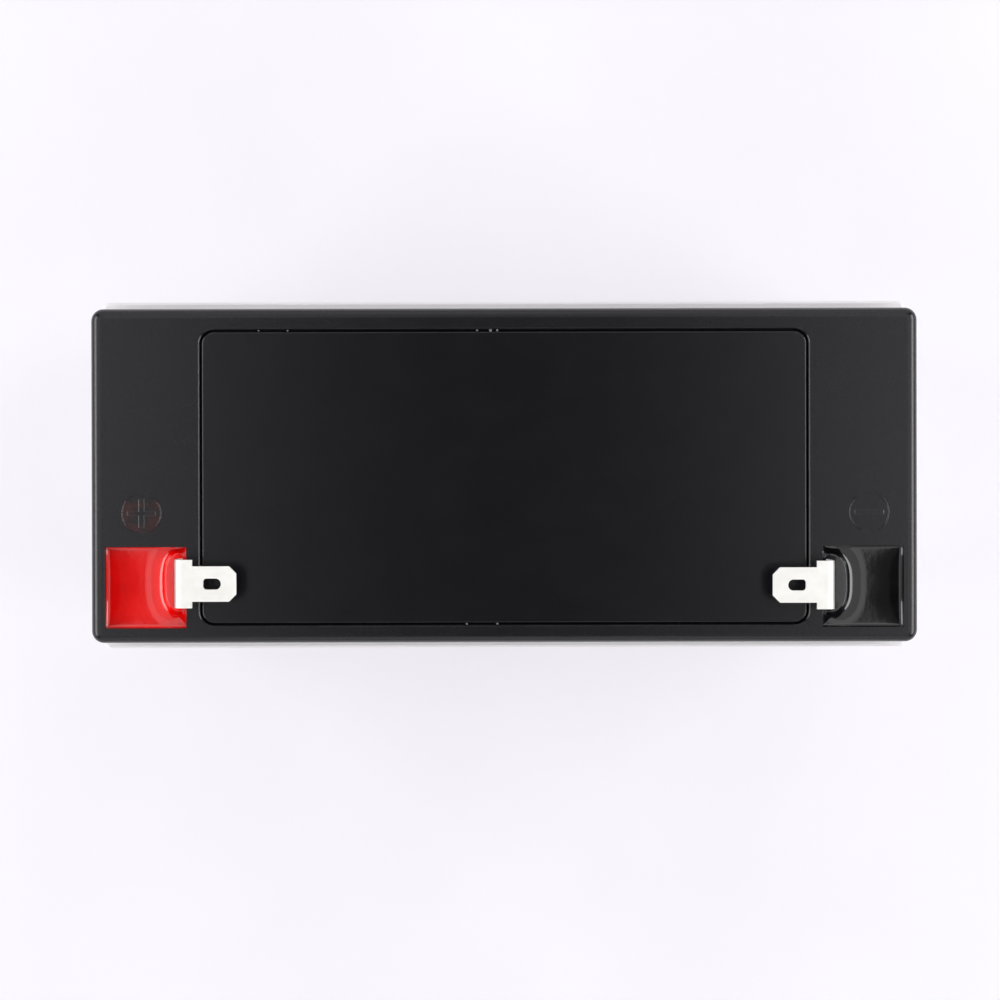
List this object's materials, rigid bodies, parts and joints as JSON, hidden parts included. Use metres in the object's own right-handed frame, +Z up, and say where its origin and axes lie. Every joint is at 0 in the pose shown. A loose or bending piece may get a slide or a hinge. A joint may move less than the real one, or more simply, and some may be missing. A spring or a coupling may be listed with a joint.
{
  "type": "sealed lead acid battery",
  "caption": "Sealed lead acid battery with a pale container, a black lid with a flush vent plate, resin-filled terminal wells and two flat tabs.",
  "frame": {"origin": "on the standing face, under the middle of the container", "axes": "+Z up through the lid, +X along the length towards the negative terminal, +Y to the back, away from the terminals"},
  "size_m": [0.151, 0.065, 0.1],
  "materials": {
    "pale_plastic": "moulded, satin",
    "black_plastic": "moulded, satin, finely textured",
    "black_rubber": "moulded, matte",
    "tinned_metal": "tin plated, bright",
    "red_resin": "cast, glossy",
    "black_resin": "cast, glossy",
    "lead": "cast, dull grey",
    "positive_paste": "pasted, dark brown",
    "negative_paste": "pasted, grey",
    "glass_mat": "felted glass fibre, white"
  },
  "bodies": {
    "root": {"container": "pale_plastic", "lid": "black_plastic", "vent_plate": "black_plastic", "valve_cap_1": "black_rubber", "valve_cap_2": "black_rubber", "valve_cap_3": "black_rubber", "valve_cap_4": "black_rubber", "valve_cap_5": "black_rubber", "valve_cap_6": "black_rubber", "positive_terminal": "tinned_metal", "negative_terminal": "tinned_metal", "positive_terminal_seal": "red_resin", "negative_terminal_seal": "black_resin", "positive_end_strap": "lead", "negative_end_strap": "lead", "cell_bridge_1_2": "lead", "cell_bridge_2_3": "lead", "cell_bridge_3_4": "lead", "cell_bridge_4_5": "lead", "cell_bridge_5_6": "lead", "positive_plates_cell_1": "positive_paste", "negative_plates_cell_1": "negative_paste", "separators_cell_1": "glass_mat", "positive_plates_cell_2": "positive_paste", "negative_plates_cell_2": "negative_paste", "separators_cell_2": "glass_mat", "positive_plates_cell_3": "positive_paste", "negative_plates_cell_3": "negative_paste", "separators_cell_3": "glass_mat", "positive_plates_cell_4": "positive_paste", "negative_plates_cell_4": "negative_paste", "separators_cell_4": "glass_mat", "positive_plates_cell_5": "positive_paste", "negative_plates_cell_5": "negative_paste", "separators_cell_5": "glass_mat", "positive_plates_cell_6": "positive_paste", "negative_plates_cell_6": "negative_paste", "separators_cell_6": "glass_mat"}
  },
  "joints": []
}
